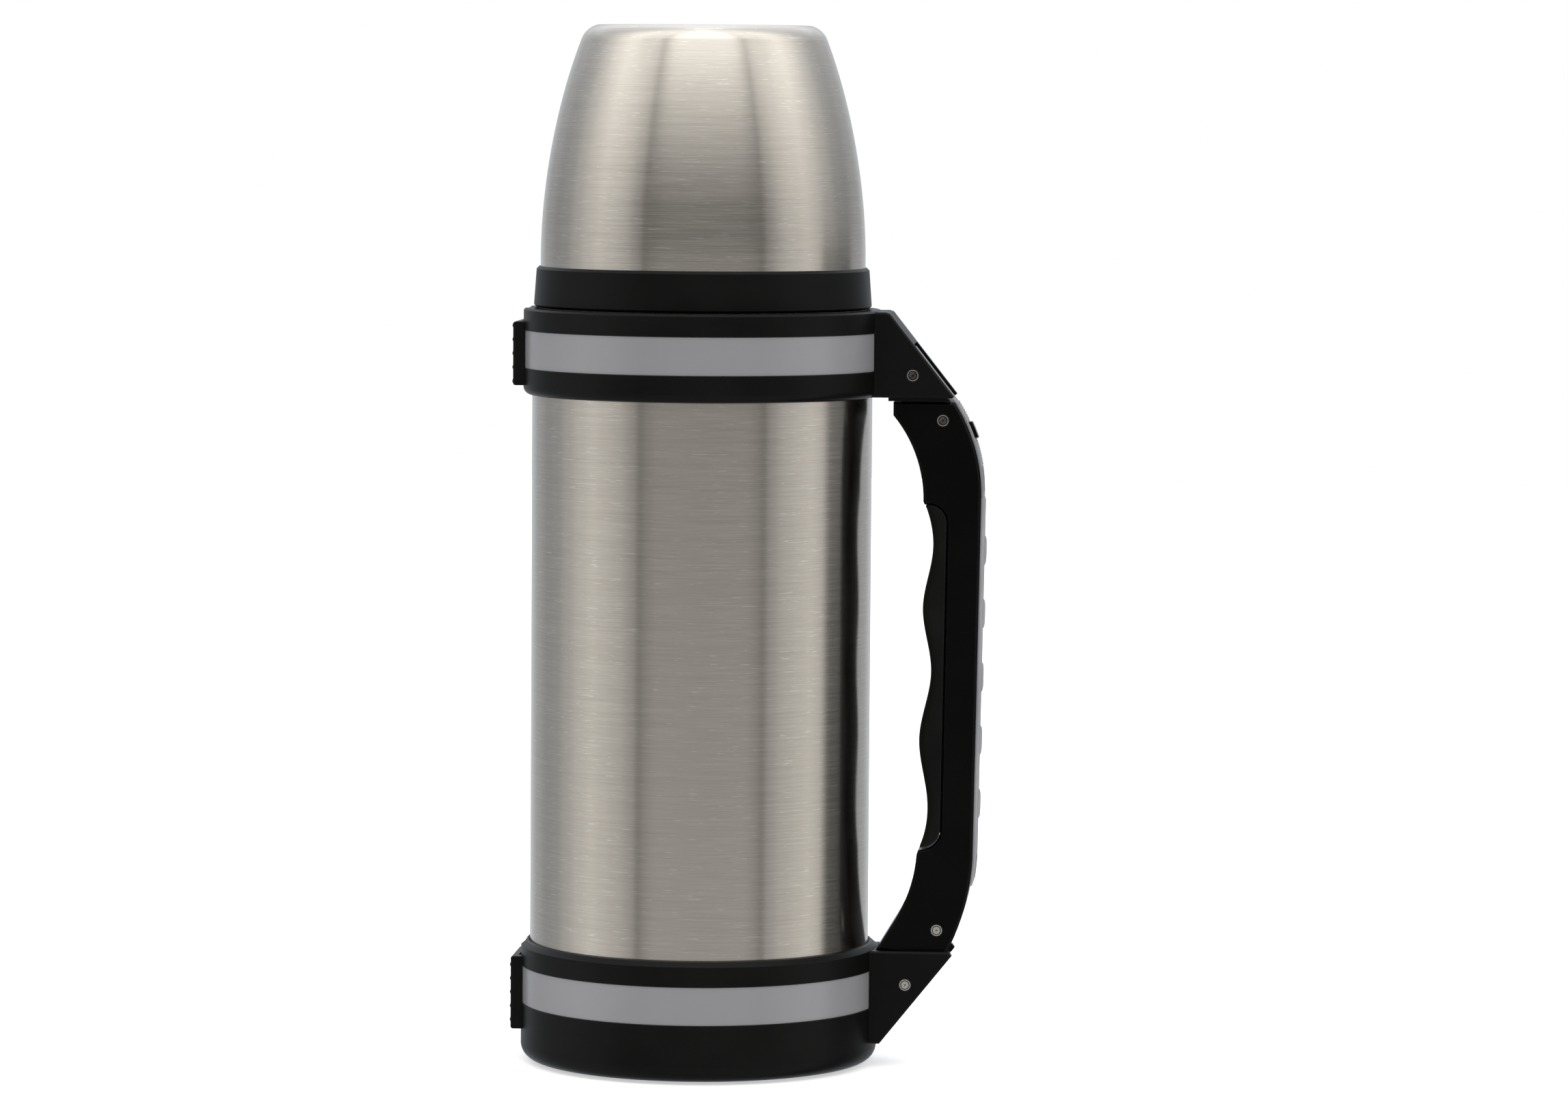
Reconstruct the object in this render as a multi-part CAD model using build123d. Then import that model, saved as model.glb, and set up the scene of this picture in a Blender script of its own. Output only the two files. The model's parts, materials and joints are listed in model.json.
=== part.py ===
from build123d import *
import os

# Vacuum flask with a cup lid, a pour-through stopper and a fixed side handle.
# Millimetres, +Z up. The origin is the middle of the underside of the foot pad,
# and the handle stands on the +X side. Each piece is one node in parts/.

# ---- driving sizes: the vessel
body_radius = 54.0            # outside of the steel body
body_wall = 0.6
liner_radius = 48.5           # inside of the bottle
liner_wall = 0.5
liner_floor = 14.0            # inside floor of the bottle above the table
liner_corner = 9.0
neck_radius = 34.0            # inside of the mouth
neck_gap = 0.9                # vacuum gap between the two necks
mouth_above_collar = 22.0     # lip of the mouth above the upper collar
shoulder_height = 15.0
shoulder_below_deck = 1.0     # shoulder's upper end under the collar's flat top
shoulder_flat = 5.0           # nearly flat ring between the shoulder and the neck
shoulder_rise = 0.8           # how much that ring rises inwards
mouth_lug_drop = 12.0         # underside of the bottle's lugs below the mouth
vacuum_fall = 5.0             # the bottle's shoulder below the outer shoulder
foil_thickness = 0.3
foil_gap = 0.1
base_dish = 2.0               # the steel base is dished up by this much
getter_radius = 7.0
getter_height = 2.0
base_skirt = 4.0              # height of the steel base's welded edge
air_hole = 2.0
solder_fit = 0.05
solder_height = 1.4

# ---- driving sizes: base cup, collars and bands
base_height = 38.7            # top lip of the base cup
base_floor = 3.0
base_lift = 0.5               # the base cup's rim above the table
base_edge = 5.0
base_lip = 1.6
foot_radius = 45.0
foot_thickness = 2.0
visible_body = 173.9          # bare steel between the two collars
collar_height = 27.5          # upper collar
collar_wall = 2.85            # the collars stand this far outside the steel
collar_fit = 0.1              # gap between a collar and the steel
collar_deck = 2.5             # thickness of the upper collar's flat top
collar_edge = 2.6
band_height = 12.0
band_thickness = 0.8
band_inset = 0.3              # band's face behind the collar's face
band_fit = 0.05
upper_band_rise = 8.5         # band above the collar's lower edge
lower_band_rise = 18.7        # band above the table
seal_inner = 49.0             # flat seal that the cup's rim stands on
seal_outer = 52.0
seal_thickness = 1.0
seal_fit = 0.1

# ---- driving sizes: cup lid
rim_gap = 0.3                 # cup rim above the collar
rim_height = 12.9
rim_radius = 53.6
rim_draft = 0.8
cup_height = 76.4             # steel of the cup above its rim
cup_radius = 51.5
cup_top_radius = 38.9         # where the side turns into the top edge
cup_edge = 4.5                # height of the rounded top edge
cup_wall = 0.6
cup_liner_wall = 1.6
cup_liner_gap = 0.2
cup_bore = 47.4               # inside of the cup's rim
cup_dish = 0.5                # the cup's top lies this far below its edge
cup_flat = 4.0                # from the rounded edge in to that flat top
rim_step = 3.0
rim_softening = 0.8
lug_depth = 1.1               # thread lugs stand this far out
lug_height = 2.0
lug_count = 4
lug_root = 0.5                # how far a lug reaches into what carries it
rim_lug_rise = 1.5            # underside of the cup's lugs above its rim
outer_lug_arc = 52.0
inner_lug_arc = 26.0
thread_ring_wall = 3.0
thread_ring_height = 13.0

# ---- driving sizes: brackets and handle
cheek = 3.0                   # wall of a bracket each side of its slot
cheek_gap = 0.2               # between the handle's side and a cheek
bracket_softening = 0.5
upper_reach = 26.6            # tips of the brackets, out from the steel
lower_reach = 27.4
lower_bracket_bottom = 7.4
upper_slot_inner = 5.5        # inner ends of the brackets' slots, out from the steel
lower_slot_inner = 3.1
upper_slot_height = 17.2      # closed end above the upper collar's lower edge
lower_slot_height = 15.1      # closed end above the lower bracket's foot
slot_corner = 4.0
slot_overrun = 3.0            # the slots are cut this far past the brackets' faces
handle_width = 17.6
handle_wall = 2.2
handle_softening = 0.7
tongue_fit = 0.2
back_bow = 12 / 43             # bow of the handle's upper back, a share of how far it runs in
core_fit = 0.25
pin_radius = 1.9
pin_fit = 0.04
pin_recess = 0.15
pad_width = 13.4
pad_fit = 0.12
pad_depth = 1.3               # how deep the back strips lie in the handle
strip_proud = 0.6
strip_sink = 0.8              # the strip's face behind the bracket's slanted face
pad_proud = 1.0
window_width = 4.4
window_height = 8.2
window_spacing = 6.4
grip_fit = 0.1
grip_tip_gap = 0.85
bump_count = 5
bump_pitch = 20.2
bump_height = 0.9
bump_length = 9.6
bump_width = 7.0

# ---- driving sizes: strap loops opposite the handle
loop_width = 24.0
loop_plate = 2.2
loop_stand = 2.4              # outer face outside the collar's face
upper_loop_height = 20.2
lower_loop_height = 23.3
upper_loop_rise = 3.0         # above the upper collar's lower edge
lower_loop_rise = 10.2        # above the table
slot_width = 17.0             # for 15 mm webbing
slot_floor = 0.8              # collar left behind the slot
rib_height = 0.3
rib_pitch = 4.4
rib_count = 5
rib_radius = 1.1
loop_edge = 0.9

# ---- driving sizes: stopper
plug_depth = 25.0             # plug below the mouth's lip
plug_wall = 2.0
plug_floor = 2.5
gasket_thickness = 1.6
skirt_radius = 37.5
skirt_height = 20.0
skirt_edge = 3.0
button_radius = 11.0
button_rise = 3.5
button_height = 7.0
button_travel_room = 3.5      # spring seat under the button's well
spring_seat = 2.0
button_edge = 1.0
dish_radius = 60.0
dish_depth = 0.7
grip_grooves = 36             # round the stopper's skirt
groove_radius = 0.8
stem_radius = 2.5
valve_radius = 9.0
valve_thickness = 2.5
spring_radius = 6.5
spring_wire = 0.5
spring_turns = 5
running_gap = 0.3             # between pieces that move past each other

# ---- derived heights and radii
body_bottom = base_lift + base_floor
collar_bottom = base_height + visible_body
collar_top = collar_bottom + collar_height
collar_radius = body_radius + collar_wall
collar_bore = body_radius + collar_fit
deck_bottom = collar_top - collar_deck
mouth = collar_top + mouth_above_collar
liner_outer = liner_radius + liner_wall
neck_outer = neck_radius + liner_wall
shell_neck_inner = neck_outer + neck_gap
shell_neck = shell_neck_inner + body_wall
rim_bottom = collar_top + rim_gap
rim_top = rim_bottom + rim_height
cup_top = rim_top + cup_height
thread_radius = cup_bore - lug_depth - running_gap
plug_radius = neck_radius - lug_depth - running_gap
skirt_bottom = mouth + gasket_thickness
skirt_top = skirt_bottom + skirt_height
plug_bottom = mouth - plug_depth
grip_middle = (collar_bottom + base_height) / 2
upper_slot_top = collar_bottom + upper_slot_height
lower_slot_floor = lower_bracket_bottom + lower_slot_height
bracket_width = handle_width + 2 * (cheek + cheek_gap)
stopper_well = skirt_top - button_height - button_travel_room
button_bottom = skirt_top - button_height + button_rise
far_out = 3 * body_radius     # past everything, for cutting blocks

# name: (out from the axis, height, length across)
pins = {
    "upper_bracket_pin": (body_radius + 13.5, collar_bottom + 7.4, bracket_width),
    "upper_handle_pin": (body_radius + 23.0, collar_bottom - 6.9, handle_width),
    "lower_handle_pin": (body_radius + 22.4, base_height + 4.9, handle_width),
    "lower_bracket_pin": (body_radius + 12.7, lower_bracket_bottom + 19.0, bracket_width),
}


# ---- helpers
def ring(inner, outer, bottom, top):
    """A plain ring, or a disc when inner is 0."""
    middle = Pos(0, 0, (bottom + top) / 2)
    solid = middle * Cylinder(outer, top - bottom)
    if inner > 0:
        solid -= middle * Cylinder(inner, 2 * (top - bottom))
    return solid


def turned(outline):
    """A solid of revolution about Z from a closed outline drawn as radius, height."""
    return revolve(Plane.XZ * make_face(outline), axis=Axis.Z)


def slab(face, half_width):
    """A side outline of the XZ plane made into a solid, half_width each side."""
    return extrude(Plane.XZ * face, amount=half_width, both=True)


def block(low, high):
    """A box from its lowest to its highest corner."""
    size = [high[axis] - low[axis] for axis in range(3)]
    middle = [(high[axis] + low[axis]) / 2 for axis in range(3)]
    return Pos(*middle) * Box(*size)


def rectangle(low, high):
    """A rectangle of the side outline from its lowest to its highest corner."""
    return Pos((low[0] + high[0]) / 2, (low[1] + high[1]) / 2) * Rectangle(high[0] - low[0], high[1] - low[1])


def lugs(inner, outer, bottom, arc, start):
    """Thread lugs: equal arcs of one low ring, the first one centred at start degrees."""
    top = bottom + lug_height
    corners = [(inner, bottom), (outer, bottom), (outer, top), (inner, top)]
    profile = Plane.XZ * make_face(Polyline(*corners, close=True))
    arcs = []
    for index in range(lug_count):
        turn = start - arc / 2 + index * 360 / lug_count
        arcs.append(Rot(0, 0, turn) * revolve(profile, axis=Axis.Z, revolution_arc=arc))
    return arcs


def across(place, radius, length):
    """A round bar or hole across the handle at a place given as (out, height)."""
    return Pos(place[0], 0, place[1]) * Rot(90, 0, 0) * Cylinder(radius, length)


# ---- the vessel
def wall_curve(radius, neck, low, fall):
    """Side, shoulder and neck of one wall of the vessel, from low up to the mouth."""
    high = deck_bottom - shoulder_below_deck - fall
    start = high - shoulder_height
    inward = radius - min(radius - neck - shoulder_flat, shoulder_height)
    return [
        Line((radius, low), (radius, start)),
        TangentArc((radius, start), (inward, high), tangent=(0, 1)),
        Line((inward, high), (neck, high + shoulder_rise)),
        Line((neck, high + shoulder_rise), (neck, mouth)),
    ]


def outer_shell():
    inside = body_radius - body_wall
    lip = mouth - body_wall
    outer = wall_curve(body_radius, shell_neck, body_bottom, 0)
    inner = wall_curve(inside, shell_neck_inner, body_bottom, body_wall)
    inner[3] = Line(inner[2] @ 1, (shell_neck_inner, lip))
    rim = Polyline((shell_neck, mouth), (neck_outer, mouth), (neck_outer, lip), (shell_neck_inner, lip))
    foot = Line((body_radius, body_bottom), (inside, body_bottom))
    return turned(outer + inner + [rim, foot])


def inner_liner():
    turn_in = liner_radius - liner_corner
    under = liner_floor - liner_wall
    low = liner_floor + liner_corner
    inner = wall_curve(liner_radius, neck_radius, low, vacuum_fall)
    outer = wall_curve(liner_outer, neck_outer, low, vacuum_fall - liner_wall)
    corners = [
        RadiusArc((liner_radius, low), (turn_in, liner_floor), liner_corner),
        RadiusArc((liner_outer, low), (turn_in, under), liner_corner + liner_wall),
    ]
    floor = Polyline((turn_in, liner_floor), (0, liner_floor), (0, under), (turn_in, under))
    bottle = turned(inner + outer + corners + [floor, Line((neck_radius, mouth), (neck_outer, mouth))])
    lug_low = mouth - mouth_lug_drop
    for lug in lugs(neck_radius - lug_depth, neck_radius + liner_wall / 2, lug_low, outer_lug_arc, 0):
        bottle += lug
    return bottle


def steel_base():
    """Pressed base disc, welded into the outer shell, with the hole the air leaves by."""
    inside = body_radius - body_wall
    low = body_bottom
    high = low + base_dish
    skirt = low + base_skirt
    disc = turned(Polyline(
        (0, high), (inside - 12, high), (inside - 9, low), (inside, low), (inside, skirt),
        (inside - body_wall, skirt), (inside - body_wall, low + body_wall), (inside - 8.7, low + body_wall),
        (inside - 11.7, high + body_wall), (0, high + body_wall), close=True))
    return disc - ring(0, air_hole, low, skirt)


def vacuum_seal():
    low = body_bottom + base_dish
    return ring(0, air_hole - solder_fit, low, low + solder_height)


def getter():
    under = liner_floor - liner_wall
    return ring(0, getter_radius, under - getter_height, under)


def foil_wrap():
    inner = liner_outer + foil_gap
    top = deck_bottom - shoulder_below_deck - vacuum_fall - shoulder_height
    return ring(inner, inner + foil_thickness, liner_floor + liner_corner, top)


# ---- trim bands and the grooves they lie in
def band_groove(bottom):
    floor = collar_radius - band_inset - band_thickness - band_fit
    return ring(floor, collar_radius + 1, bottom, bottom + band_height)


def band_ends(extra):
    """What the bracket and the strap loop take out of a band, and a little extra."""
    beside_handle = block((0, -bracket_width / 2 - extra, 0), (far_out, bracket_width / 2 + extra, cup_top))
    beside_loop = block((-far_out, -loop_width / 2 - extra, 0), (0, loop_width / 2 + extra, cup_top))
    return beside_handle + beside_loop


def band(bottom, side):
    """Front (side -1) or back (side 1) trim band, from the bracket round to the strap loop."""
    outer = collar_radius - band_inset
    whole = ring(outer - band_thickness, outer, bottom + band_fit, bottom + band_height - band_fit)
    half = block((-far_out, min(0, side * far_out), 0), (far_out, max(0, side * far_out), cup_top))
    return (whole & half) - band_ends(band_fit)


# ---- brackets of the handle
def shifted(low_end, high_end, inset):
    """A line moved sideways by inset, to the left of its direction."""
    run = (Vector(*high_end) - Vector(*low_end)).normalized()
    left = Vector(-run.Y * inset, run.X * inset)
    return Vector(*low_end) + left, Vector(*high_end) + left


def upper_slant(inset):
    """The upper bracket's slanted edge from its tip up, or a line this far inside it."""
    tip = (body_radius + upper_reach, collar_bottom + 0.8)
    top = (body_radius + 6.1, collar_top - 0.7)
    return shifted(tip, top, inset)


def lower_slant(inset):
    """The lower bracket's slanted edge from its foot up, or a line this far inside it."""
    foot = (body_radius + 4.6, lower_bracket_bottom)
    tip = (body_radius + lower_reach, base_height - 2.9)
    return shifted(foot, tip, inset)


def at_height(line, height):
    """The point at this height on the line through two ends."""
    low, high = line
    return low + (high - low) * ((height - low.Y) / (high.Y - low.Y))


def bracket(points):
    """A solid bracket from its side outline, its two flat faces softened all round."""
    solid = slab(make_face(Polyline(*points, close=True)), bracket_width / 2)
    faces = solid.faces().filter_by(Axis.Y)
    return chamfer([edge for face in faces for edge in face.edges()], bracket_softening)


def upper_pocket():
    """Slot between the upper bracket's cheeks, open below and on the slanted face."""
    inner = body_radius + upper_slot_inner
    low = collar_bottom - 1
    top = upper_slot_top
    edge = upper_slant(-slot_overrun)
    return make_face(Polyline((inner, low), at_height(edge, low), at_height(edge, top),
                              (inner + slot_corner, top), (inner, top - slot_corner), close=True))


def lower_pocket():
    """Slot between the lower bracket's cheeks, open above and on the slanted face."""
    inner = body_radius + lower_slot_inner
    top = base_height + 1
    floor = lower_slot_floor
    edge = lower_slant(-slot_overrun)
    return make_face(Polyline((inner, top), (inner, floor + slot_corner), (inner + slot_corner, floor),
                              at_height(edge, floor), at_height(edge, top), close=True))


def drill_pins(solid):
    """Holes for all four pins; those that miss the piece change nothing."""
    for x, z, length in pins.values():
        solid -= across((x, z), pin_radius + pin_fit, length + 2)
    return solid


def upper_collar():
    bottom = collar_bottom
    outer = collar_radius
    deck_bore = shell_neck + running_gap
    lines = Polyline(
        (outer, bottom + collar_edge), (outer, collar_top - 0.6), (outer - 0.6, collar_top),
        (deck_bore, collar_top), (deck_bore, deck_bottom), (collar_bore - 6, deck_bottom),
        (collar_bore, deck_bottom - 3), (collar_bore, bottom), (outer - collar_edge, bottom))
    edge = RadiusArc((outer - collar_edge, bottom), (outer, bottom + collar_edge), -collar_edge)
    collar = turned([lines, edge])
    collar -= band_groove(bottom + upper_band_rise)
    tip, top = upper_slant(0)
    bracket_low = bottom + 0.3
    bracket_high = collar_top - 0.3
    root = collar_bore - 3
    points = [(root, bracket_low), (tip.X - 0.6, bracket_low), tip, top, (top.X - 1.2, bracket_high),
              (root, bracket_high)]
    collar += bracket(points) - ring(0, collar_bore, 0, cup_top)
    collar -= slab(upper_pocket(), bracket_width / 2 - cheek)
    seal_floor = rim_bottom - seal_fit - seal_thickness
    collar -= ring(seal_inner - seal_fit, seal_outer + seal_fit, seal_floor, cup_top)
    collar -= loop_seat(bottom + upper_loop_rise, upper_loop_height)
    collar -= webbing_slot(bottom - 1, collar_top + 1)
    return drill_pins(collar)


def base_cup():
    outer = collar_radius
    recess = foot_thickness
    low = base_lift
    lines = Polyline(
        (outer, low + base_edge), (outer, base_height - base_lip), (outer - base_lip, base_height - 0.2),
        (collar_bore + 0.4, base_height), (collar_bore, base_height - 0.5), (collar_bore, body_bottom),
        (0, body_bottom), (0, recess), (foot_radius + seal_fit, recess), (foot_radius + seal_fit, low),
        (outer - base_edge, low))
    cup = turned([lines, RadiusArc((outer - base_edge, low), (outer, low + base_edge), -base_edge)])
    cup -= band_groove(lower_band_rise)
    foot, tip = lower_slant(0)
    bracket_high = base_height - 1.7
    points = [(collar_bore - 3, lower_bracket_bottom + 0.6), (foot.X - 1.6, lower_bracket_bottom), foot, tip,
              (tip.X - 0.8, bracket_high), (collar_bore - 3, bracket_high)]
    cup += bracket(points) - ring(0, collar_bore, 0, cup_top)
    cup -= slab(lower_pocket(), bracket_width / 2 - cheek)
    cup -= loop_seat(lower_loop_rise, lower_loop_height)
    cup -= webbing_slot(lower_loop_rise - 5, base_height + 1)
    return drill_pins(cup)


def foot_pad():
    pad = ring(0, foot_radius, 0, foot_thickness)
    return chamfer(pad.edges().group_by(Axis.Z)[0], 0.5)


# ---- strap loops
def loop_outer_face():
    return -(collar_radius + loop_stand)


def webbing_slot(low, high):
    """Flat recess in a collar behind its strap loop."""
    floor = -(body_radius + slot_floor)
    return block((-far_out, -slot_width / 2, low), (floor, slot_width / 2, high))


def loop_seat(low, height):
    """Flats beside the slot that the two feet of a loop stand on."""
    floor = -(body_radius + slot_floor)
    half = loop_width / 2 + band_fit
    return block((-far_out, -half, low - band_fit), (floor, half, low + height + band_fit))


def strap_loop(low, height):
    """A ribbed plate on two feet, with the webbing slot behind it."""
    face = loop_outer_face()
    seat = -(body_radius + slot_floor) - band_fit
    half = loop_width / 2
    loop = block((face, -half, low), (seat, half, low + height))
    loop = fillet(loop.faces().sort_by(Axis.X)[0].edges(), loop_edge)
    loop -= block((face + loop_plate, -slot_width / 2, low - 1), (seat + 1, slot_width / 2, low + height + 1))
    first = low + height / 2 - (rib_count - 1) * rib_pitch / 2
    for index in range(rib_count):
        rib = Cylinder(rib_radius, loop_width - 3)
        loop += Pos(face - rib_height + rib_radius, 0, first + index * rib_pitch) * Rot(90, 0, 0) * rib
    return loop


# ---- the handle
def handle_points():
    """Places along the handle's side outline, as (out, height)."""
    out = body_radius
    return {
        "top_in": (out + 7.3, collar_bottom - 1.2),
        "throat": (out + 7.3, collar_bottom - 5.4),
        "grip_high": (out + 17.0, grip_middle + 54.3),
        "grip_low": (out + 15.8, grip_middle - 58.0),
        "heel": (out + 9.2, base_height + 8.2),
        "bottom_in": (out + 3.4, base_height - 1.4),
        "bottom_out": (out + lower_reach - 3.0, base_height - 4.0),
        "lip_out": (out + lower_reach - 0.8, base_height - 0.4),
        "back_low": (out + 33.6, base_height + 27.3),
        "back_high": (out + 35.3, collar_bottom - 31.8),
        "top_out": (out + upper_reach + 0.1, collar_bottom - 1.2),
    }


def grip_wave():
    """The wavy inner edge of the finger grip, from its upper end to its lower tip."""
    offsets = [(17.0, 54.3), (19.0, 48.8), (20.1, 39.3), (17.0, 20.5), (19.8, 0.4), (16.2, -21.0),
               (18.8, -39.3), (16.7, -55.3)]
    return Spline(*[(body_radius + out, grip_middle + rise) for out, rise in offsets])


def handle_outline(back=0.0):
    """Side outline of the whole handle; back moves the outer edge outwards."""
    at = handle_points()
    wave = grip_wave()
    shift = Vector(back, 0)
    edges = [
        Line(at["top_in"], at["throat"]),
        SagittaArc(at["throat"], at["grip_high"], 2.6),
        wave,
        Line(wave @ 1, at["grip_low"]),
        SagittaArc(at["grip_low"], at["heel"], 1.3),
        Line(at["heel"], at["bottom_in"]),
    ]
    behind = ("bottom_out", "lip_out", "back_low", "back_high", "top_out")
    outer = [Vector(*at[name]) + shift for name in behind]
    edges += [
        Line(at["bottom_in"], outer[0]),
        Line(outer[0], outer[1]),
        SagittaArc(outer[1], outer[2], -1.4),
        Line(outer[2], outer[3]),
        SagittaArc(outer[3], outer[4], back_bow * (outer[4].X - outer[3].X)),
        Line(outer[4], at["top_in"]),
    ]
    return make_face(edges)


def grip_zone(fit, tip_gap):
    """Side outline of the space that the finger grip fills, seen from inside the hand."""
    out = body_radius
    inside = out + 8
    upper = (out + 17.2, grip_middle + 53.2 + fit)
    bend_high = (out + 24.4, grip_middle + 47.6)
    bend_low = (out + 23.2, grip_middle - 50.4)
    tip = (out + 14.6, grip_middle - 56.0 - tip_gap)
    return make_face([
        Line((inside, grip_middle + 53.2 + fit), upper),
        SagittaArc(upper, (bend_high[0] + fit, bend_high[1]), 2.2),
        Line((bend_high[0] + fit, bend_high[1]), (bend_low[0] + fit, bend_low[1])),
        SagittaArc((bend_low[0] + fit, bend_low[1]), (tip[0] + 3.0, tip[1] + 0.5), 1.4),
        Polyline((tip[0] + 3.0, tip[1] + 0.5), tip, (inside, tip[1]), (inside, grip_middle + 53.2 + fit)),
    ])


def back_channel(depth, proud, low, high, half_width):
    """A slice of the handle's back between two heights, from depth inside to proud outside."""
    face = handle_outline(proud) - handle_outline(-depth)
    face &= rectangle((body_radius + 20, low), (body_radius + 50, high))
    return slab(face, half_width)


def back_groove(high):
    """Groove in the handle's back for the gray strip and the pad, up to this height."""
    return back_channel(pad_depth + pad_fit, 5, base_height + 18.5, high, pad_width / 2 + pad_fit)


def shell_face():
    return handle_outline() - grip_zone(grip_fit, grip_tip_gap)


def cavity_face():
    """What is hollow inside the two handle shells, open at both ends."""
    at = handle_points()
    top = at["top_in"][1] + 1
    low = at["bottom_in"][1] - 4
    wall = handle_wall
    back = pad_depth + wall - 0.6
    seam = body_radius + 24.4 + wall
    points = [
        (at["top_in"][0] + wall, top),
        (at["throat"][0] + wall, at["throat"][1] - 0.5),
        (body_radius + 17.4, collar_bottom - 19),
        (body_radius + 19.8, grip_middle + 56.5),
        (seam + 0.2, grip_middle + 51),
        (seam - 1.1, grip_middle - 51),
        (body_radius + 19.0, grip_middle - 60.5),
        (body_radius + 16.6, base_height + 19),
        (at["heel"][0] + wall + 0.6, at["heel"][1]),
        (at["bottom_in"][0] + wall + 0.6, low),
        (at["bottom_out"][0] - wall - 1.4, low),
        (at["lip_out"][0] - wall - 1.2, at["lip_out"][1]),
        (at["back_low"][0] - back, at["back_low"][1]),
        (at["back_high"][0] - back, at["back_high"][1]),
        (at["top_out"][0] - back - 0.6, top),
    ]
    return make_face(Polyline(*points, close=True))


def handle_shell(side):
    """Front (side -1) or back (side 1) half of the handle's hard shell."""
    half = handle_width / 2
    shell = slab(shell_face(), half)
    outside = [face for face in shell.faces().filter_by(Axis.Y) if face.center().Y * side > 0]
    shell = chamfer(outside[0].edges(), handle_softening)
    shell -= slab(cavity_face(), half - handle_wall)
    shell -= back_groove(collar_bottom + 2)
    shell = drill_pins(shell)
    keep = block((0, min(0, side * far_out), 0), (far_out, max(0, side * far_out), cup_top))
    return shell & keep


def upper_tongue():
    """End of the core that fills the upper bracket's slot behind the gray strip."""
    inner = body_radius + upper_slot_inner + tongue_fit
    low = collar_bottom - 0.9
    top = upper_slot_top - tongue_fit
    edge = upper_slant(strip_sink + pad_depth + pad_fit)
    return make_face(Polyline((inner, low), at_height(edge, low), at_height(edge, top),
                              (inner + slot_corner, top), (inner, top - slot_corner), close=True))


def lower_tongue():
    """End of the core that fills the lower bracket's slot."""
    inner = body_radius + lower_slot_inner + tongue_fit
    top = base_height - 5.0
    floor = lower_slot_floor + tongue_fit
    edge = lower_slant(0.8)
    return make_face(Polyline((inner, top), (inner, floor + slot_corner), (inner + slot_corner, floor),
                              at_height(edge, floor), at_height(edge, top), close=True))


def handle_core():
    """The pin-jointed core: two wide tongues and the narrower bar inside the shells."""
    tongue_half = bracket_width / 2 - cheek - tongue_fit
    bar_half = handle_width / 2 - handle_wall - core_fit
    bar = slab(offset(cavity_face(), amount=-core_fit, kind=Kind.INTERSECTION), bar_half)
    at = handle_points()
    top = at["top_in"][1]
    low = at["bottom_in"][1]
    bar += block((at["top_in"][0] + 4, -bar_half, top - 1), (at["top_out"][0] - 5, bar_half, top + 3))
    bar += block((at["bottom_in"][0] + 4, -bar_half, low - 5), (at["bottom_out"][0] - 6, bar_half, low - 3))
    core = bar + slab(upper_tongue(), tongue_half) + slab(lower_tongue(), tongue_half)
    core -= back_groove(collar_bottom - 1)
    return drill_pins(core)


def windows(middle):
    """Two windows side by side through a back strip, centred at this height."""
    low = middle - window_height / 2
    holes = []
    for side in (-1, 1):
        near = side * window_spacing / 2 - window_width / 2
        holes.append(block((body_radius, near, low), (far_out, near + window_width, low + window_height)))
    return holes[0] + holes[1]


def back_strip():
    """Gray strip from the upper bracket's slot down the handle's back to the pad."""
    low = collar_bottom - 31.2
    strip = back_channel(pad_depth, strip_proud, low, collar_bottom - 1.2, pad_width / 2)
    outer = upper_slant(strip_sink)
    inner = upper_slant(strip_sink + pad_depth)
    top = upper_slot_top - 1.2
    foot = collar_bottom - 1.3
    face = make_face(Polyline(at_height(inner, foot), at_height(outer, foot), at_height(outer, top),
                              at_height(inner, top), close=True))
    strip += slab(face, pad_width / 2)
    return strip - windows(low + 1.4 + window_height / 2)


def strip_stud():
    """Small black stud on the face of the gray strip."""
    middle = collar_bottom - 10.0
    face = handle_outline(strip_proud + 1.2) - handle_outline(strip_proud)
    face &= rectangle((body_radius + 20, middle - 2.5), (body_radius + 50, middle + 2.5))
    return slab(face, 2.5)


def back_pad():
    """Gray soft pad on the handle's back, with a row of raised ovals."""
    low = base_height + 19.0
    high = collar_bottom - 31.3
    pad = back_channel(pad_depth, pad_proud, low, high, pad_width / 2)
    pad = chamfer([edge for edge in pad.edges() if edge.center().X > body_radius + 33.5], 0.4)
    at = handle_points()
    slope = (at["back_high"][0] - at["back_low"][0]) / (at["back_high"][1] - at["back_low"][1])
    first = grip_middle - 1.8 - (bump_count - 1) * bump_pitch / 2
    for index in range(bump_count):
        z = first + index * bump_pitch
        surface = at["back_low"][0] + pad_proud + slope * (z - at["back_low"][1])
        oval = extrude(Plane.YZ * Ellipse(bump_width / 2, bump_length / 2), amount=bump_height + 1)
        oval = fillet(oval.edges().group_by(Axis.X)[-1], 0.8)
        pad += Pos(surface - 1, 0, z) * oval
    return pad - windows(low + 1.2 + window_height / 2)


def finger_grip():
    return slab(handle_outline() & grip_zone(0, 0), handle_width / 2)


def handle_pin(x, z, length):
    """A turned pin with softened ends and a small centre mark in each."""
    reach = length - 2 * pin_recess
    pin = across((x, z), pin_radius, reach)
    pin = chamfer(pin.edges().filter_by(GeomType.CIRCLE), 0.25)
    for side in (-1, 1):
        pin -= Pos(x, side * reach / 2, z) * Sphere(0.45)
    return pin


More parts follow.
